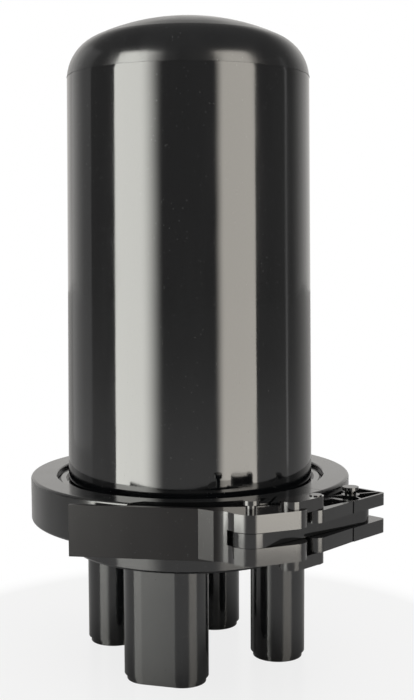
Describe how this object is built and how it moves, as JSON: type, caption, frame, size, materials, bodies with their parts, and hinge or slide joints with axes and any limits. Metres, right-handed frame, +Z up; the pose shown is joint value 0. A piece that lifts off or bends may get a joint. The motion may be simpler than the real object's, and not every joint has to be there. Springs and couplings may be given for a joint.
{
  "type": "dome splice closure",
  "caption": "Dome splice closure: moulded dome on a base with closed cable ports, held by a two-part clamp ring with an over-centre lever.",
  "frame": {"origin": "on the dome's axis, in the plane of the port ends that the closure stands on", "axes": "+Z up along the dome's axis; -Y towards the side that carries the lever's handle; +X towards the latch"},
  "size_m": [0.2207, 0.2265, 0.4078],
  "materials": {
    "dome": "moulded, high gloss",
    "base": "moulded, high gloss",
    "seal": "matte",
    "clamp": "moulded, satin to gloss",
    "lever": "moulded, satin handle",
    "link": "moulded, gloss",
    "pins": "moulded, gloss",
    "steel": "plain zinc-plated",
    "bracket": "brushed sheet",
    "carrier": "moulded",
    "tray": "moulded, satin",
    "cover": "clear, polished",
    "strap": "woven hook-and-loop",
    "brass": "turned"
  },
  "bodies": {
    "root": {"dome": "dome", "base": "base", "seal_ring": "seal", "clamp_front_half": "clamp", "hinge_pin": "steel", "pivot_pin_upper": "pins", "pivot_pin_lower": "pins", "bracket": "bracket", "bracket_screws": "steel", "tray_carrier": "carrier", "tray_hinge_pins": "steel", "tray_1": "tray", "tray_2": "tray", "tray_3": "tray", "tray_4": "tray", "tray_cover": "cover", "tray_strap": "strap", "storage_basket": "tray", "strength_clamps": "steel", "clamp_screws": "steel", "earth_stud": "brass"},
    "rear_half": {"clamp_rear_half": "clamp", "anchor_pin": "pins"},
    "lever": {"lever": "lever", "link_pin": "pins"},
    "link": {"link": "link"}
  },
  "joints": [
    {"name": "lever_pivot", "type": "hinge", "parent": "root", "child": "lever", "pos_m": [0.073, -0.094, 0.104], "axis": [0, 0, 1], "range_deg": [0, 90]},
    {"name": "link_pivot", "type": "hinge", "parent": "lever", "child": "link", "pos_m": [0.0353, -0.113, 0.104], "axis": [0, 0, 1], "range_deg": [-145, 0]},
    {"name": "clamp_hinge", "type": "hinge", "parent": "root", "child": "rear_half", "pos_m": [-0.08605, 0.06772, 0.104], "axis": [0, 0, 1], "range_deg": [0, 14]}
  ],
  "couplings": [
    {"joint": "link_pivot", "follows": "lever_pivot", "ratio": -1.6},
    {"joint": "clamp_hinge", "follows": "lever_pivot", "ratio": 0.15}
  ]
}
